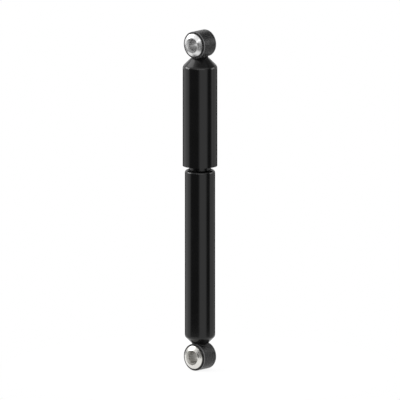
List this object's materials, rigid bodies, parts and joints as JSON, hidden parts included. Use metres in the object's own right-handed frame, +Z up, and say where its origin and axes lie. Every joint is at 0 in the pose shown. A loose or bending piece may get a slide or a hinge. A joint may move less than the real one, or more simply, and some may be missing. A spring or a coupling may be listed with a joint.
{
  "type": "shock absorber",
  "caption": "Twin-tube telescopic shock absorber with a dust cover and a rubber-bushed eye at each end, drawn fully extended.",
  "frame": {"origin": "centre of the lower eye, on the axis of its bore", "axes": "+Z up the piston rod to the upper eye, +Y along both eye bores"},
  "size_m": [0.08, 0.08, 0.7944],
  "materials": {
    "black_paint": "deep gloss black paint on steel",
    "black_forging": "black paint on an as-forged ring, satin and slightly grainy",
    "bright_steel": "turned steel, zinc plated and bright",
    "hard_chrome": "ground and hard-chromed",
    "plain_steel": "drawn or turned steel, lightly oiled",
    "spring_steel": "blue-grey spring steel",
    "sintered_iron": "sintered iron, matt grey",
    "light_alloy": "die-cast light alloy, machined bores",
    "bearing_bronze": "bronze bearing lining",
    "band_plastic": "filled low-friction plastic, brown-grey",
    "black_rubber": "moulded black rubber, satin"
  },
  "bodies": {
    "lower_sleeve": {"lower_inner_sleeve": "bright_steel"},
    "cylinder": {"lower_eye_ring": "black_forging", "lower_rubber_bush": "black_rubber", "base_cap": "black_paint", "reserve_tube": "black_paint", "pressure_tube": "plain_steel", "foot_valve_body": "sintered_iron", "foot_valve_pin": "plain_steel", "foot_spring_retainer": "plain_steel", "foot_valve_nut": "plain_steel", "foot_intake_spring": "spring_steel", "foot_relief_spring": "spring_steel", "rod_guide": "light_alloy", "guide_bushing": "bearing_bronze", "rod_seal": "black_rubber", "seal_garter_spring": "spring_steel", "guide_o_ring": "black_rubber", "seal_cover_plate": "plain_steel", "seal_cap": "black_paint"},
    "foot_intake_valve": {"foot_intake_plate": "spring_steel"},
    "foot_relief_valve": {"foot_relief_plate": "spring_steel"},
    "sliding_band": {"piston_band": "band_plastic"},
    "rod_assembly": {"piston_rod": "hard_chrome", "rebound_stop": "plain_steel", "rebound_bumper": "black_rubber", "piston_body": "sintered_iron", "valve_spacer": "plain_steel", "valve_stop_washer": "plain_steel", "intake_star_spring": "spring_steel", "rebound_spring": "spring_steel", "piston_nut": "plain_steel", "dust_cover_cap": "black_paint", "dust_cover_tube": "black_paint", "upper_eye_ring": "black_forging", "upper_rubber_bush": "black_rubber"},
    "piston_intake_valve": {"piston_intake_plate": "spring_steel"},
    "rebound_valve": {"rebound_valve_plate": "spring_steel", "rebound_spring_seat": "plain_steel"},
    "upper_sleeve": {"upper_inner_sleeve": "bright_steel"}
  },
  "joints": [
    {"name": "lower_eye_twist", "type": "hinge", "parent": "lower_sleeve", "child": "cylinder", "pos_m": [0, 0, 0], "axis": [0, 1, 0], "range_deg": [-15, 15], "stiffness_Nm_per_rad": 120},
    {"name": "rod_stroke", "type": "slide", "parent": "cylinder", "child": "sliding_band", "axis": [0, 0, 1], "range_m": [-0.24, 0]},
    {"name": "rod_spin", "type": "hinge", "parent": "sliding_band", "child": "rod_assembly", "pos_m": [0, 0, 0.3566], "axis": [0, 0, 1], "continuous": true},
    {"name": "upper_eye_twist", "type": "hinge", "parent": "rod_assembly", "child": "upper_sleeve", "pos_m": [0, 0, 0.732], "axis": [0, 1, 0], "range_deg": [-15, 15], "stiffness_Nm_per_rad": 120},
    {"name": "foot_intake_lift", "type": "slide", "parent": "cylinder", "child": "foot_intake_valve", "axis": [0, 0, 1], "range_m": [0, 0.001], "stiffness_N_per_m": 400, "springref_m": -0.002, "deforming": ["foot_intake_spring"]},
    {"name": "foot_relief_open", "type": "slide", "parent": "cylinder", "child": "foot_relief_valve", "axis": [0, 0, -1], "range_m": [0, 0.0008], "stiffness_N_per_m": 20000, "springref_m": -0.001, "deforming": ["foot_relief_spring"]},
    {"name": "piston_intake_lift", "type": "slide", "parent": "rod_assembly", "child": "piston_intake_valve", "axis": [0, 0, 1], "range_m": [0, 0.001], "stiffness_N_per_m": 600, "springref_m": -0.002, "deforming": ["intake_star_spring"]},
    {"name": "rebound_valve_open", "type": "slide", "parent": "rod_assembly", "child": "rebound_valve", "axis": [0, 0, -1], "range_m": [0, 0.0008], "stiffness_N_per_m": 40000, "springref_m": -0.001, "deforming": ["rebound_spring"]}
  ]
}
